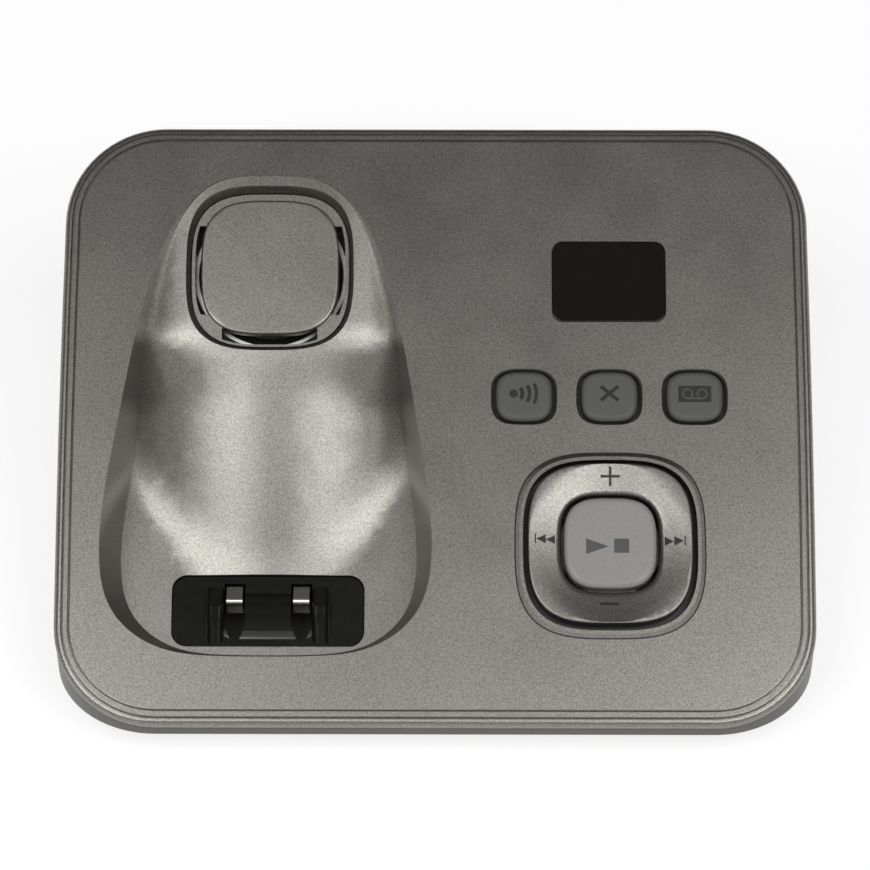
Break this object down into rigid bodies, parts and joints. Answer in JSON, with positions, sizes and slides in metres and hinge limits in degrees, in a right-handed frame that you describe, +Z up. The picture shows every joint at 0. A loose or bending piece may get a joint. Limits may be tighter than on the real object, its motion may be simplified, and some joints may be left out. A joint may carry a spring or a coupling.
{
  "type": "cordless phone base station",
  "caption": "Wedge-shaped charging and answering base of a cordless phone: bell-shaped handset cradle with speaker, display window, keys and a four-way ring.",
  "frame": {"origin": "centre of the footprint on the table, under the rubber feet", "axes": "+Z up, -Y to the user, +X to the user's right along the long side"},
  "size_m": [0.145, 0.1087, 0.0631],
  "materials": {
    "case": "satin metallic grey paint, fine grain",
    "case_lower": "satin metallic grey",
    "foam": "open foam",
    "steel": "zinc plated",
    "cone": "pressed paper",
    "magnet": "dark ferrite",
    "window": "smoked gloss",
    "display_block": "black with pale digits",
    "key_rubber": "soft matt grey",
    "play_cap": "translucent pale grey",
    "black_plastic": "black moulding",
    "led": "clear red",
    "board": "green laminate",
    "connector": "cream moulding",
    "capacitor": "sleeved can",
    "tinned": "tinned",
    "ribbon": "flat cable",
    "gloss_black": "gloss black",
    "contact": "nickel over brass",
    "lead": "insulated lead",
    "foot_rubber": "matt rubber"
  },
  "bodies": {
    "housing": {"top_cover": "case", "base_cover": "case_lower", "speaker_cover": "case", "speaker_gasket": "foam", "speaker_frame": "steel", "speaker_cone": "cone", "speaker_magnet": "magnet", "speaker_screws": "steel", "display_window": "window", "display_module": "display_block", "key_mat": "key_rubber", "key_switches": "black_plastic", "message_led": "led", "control_board": "board", "control_board_screws": "steel", "control_connector": "connector", "main_board": "board", "main_board_screws": "steel", "shield_can": "steel", "chip_set": "black_plastic", "capacitor_set": "capacitor", "antenna_left": "tinned", "antenna_right": "tinned", "main_connector": "connector", "ribbon_cable": "ribbon", "terminal_holder": "gloss_black", "charge_leads": "lead", "speaker_leads": "lead", "dc_jack": "black_plastic", "line_jack": "black_plastic", "line_jack_pins": "contact", "rubber_feet": "foot_rubber", "case_screws": "steel"},
    "locator_key": {"locator_key": "key_rubber"},
    "erase_key": {"erase_key": "key_rubber"},
    "answer_key": {"answer_key": "key_rubber"},
    "play_button": {"play_button": "play_cap"},
    "ring_plate": {"nav_ring": "case"},
    "ring_collar": {"nav_collar": "key_rubber"},
    "contact_left": {"charge_contact_left": "contact"},
    "contact_right": {"charge_contact_right": "contact"}
  },
  "joints": [
    {"name": "locator_key_press", "type": "slide", "parent": "housing", "child": "locator_key", "axis": [0, 0.4226, -0.9063], "range_m": [0, 0.0005], "stiffness_N_per_m": 900},
    {"name": "erase_key_press", "type": "slide", "parent": "housing", "child": "erase_key", "axis": [0, 0.4226, -0.9063], "range_m": [0, 0.0005], "stiffness_N_per_m": 900},
    {"name": "answer_key_press", "type": "slide", "parent": "housing", "child": "answer_key", "axis": [0, 0.4226, -0.9063], "range_m": [0, 0.0005], "stiffness_N_per_m": 900},
    {"name": "play_button_press", "type": "slide", "parent": "housing", "child": "play_button", "axis": [0, 0.4226, -0.9063], "range_m": [0, 0.0006], "stiffness_N_per_m": 900},
    {"name": "ring_tip_fore_aft", "type": "hinge", "parent": "housing", "child": "ring_collar", "pos_m": [0.0333, -0.02152, 0.02479], "axis": [1, 0, 0], "range_deg": [-1.83, 1.83], "stiffness_Nm_per_rad": 0.25},
    {"name": "ring_tip_side", "type": "hinge", "parent": "ring_collar", "child": "ring_plate", "pos_m": [0.0333, -0.02152, 0.02479], "axis": [0, 0.9063, 0.4226], "range_deg": [-1.83, 1.83], "stiffness_Nm_per_rad": 0.25},
    {"name": "contact_left_flex", "type": "hinge", "parent": "housing", "child": "contact_left", "pos_m": [-0.03875, -0.02066, 0.01018], "axis": [1, 0, 0], "range_deg": [0, 4], "stiffness_Nm_per_rad": 0.2},
    {"name": "contact_right_flex", "type": "hinge", "parent": "housing", "child": "contact_right", "pos_m": [-0.02585, -0.02066, 0.01018], "axis": [1, 0, 0], "range_deg": [0, 4], "stiffness_Nm_per_rad": 0.2}
  ]
}
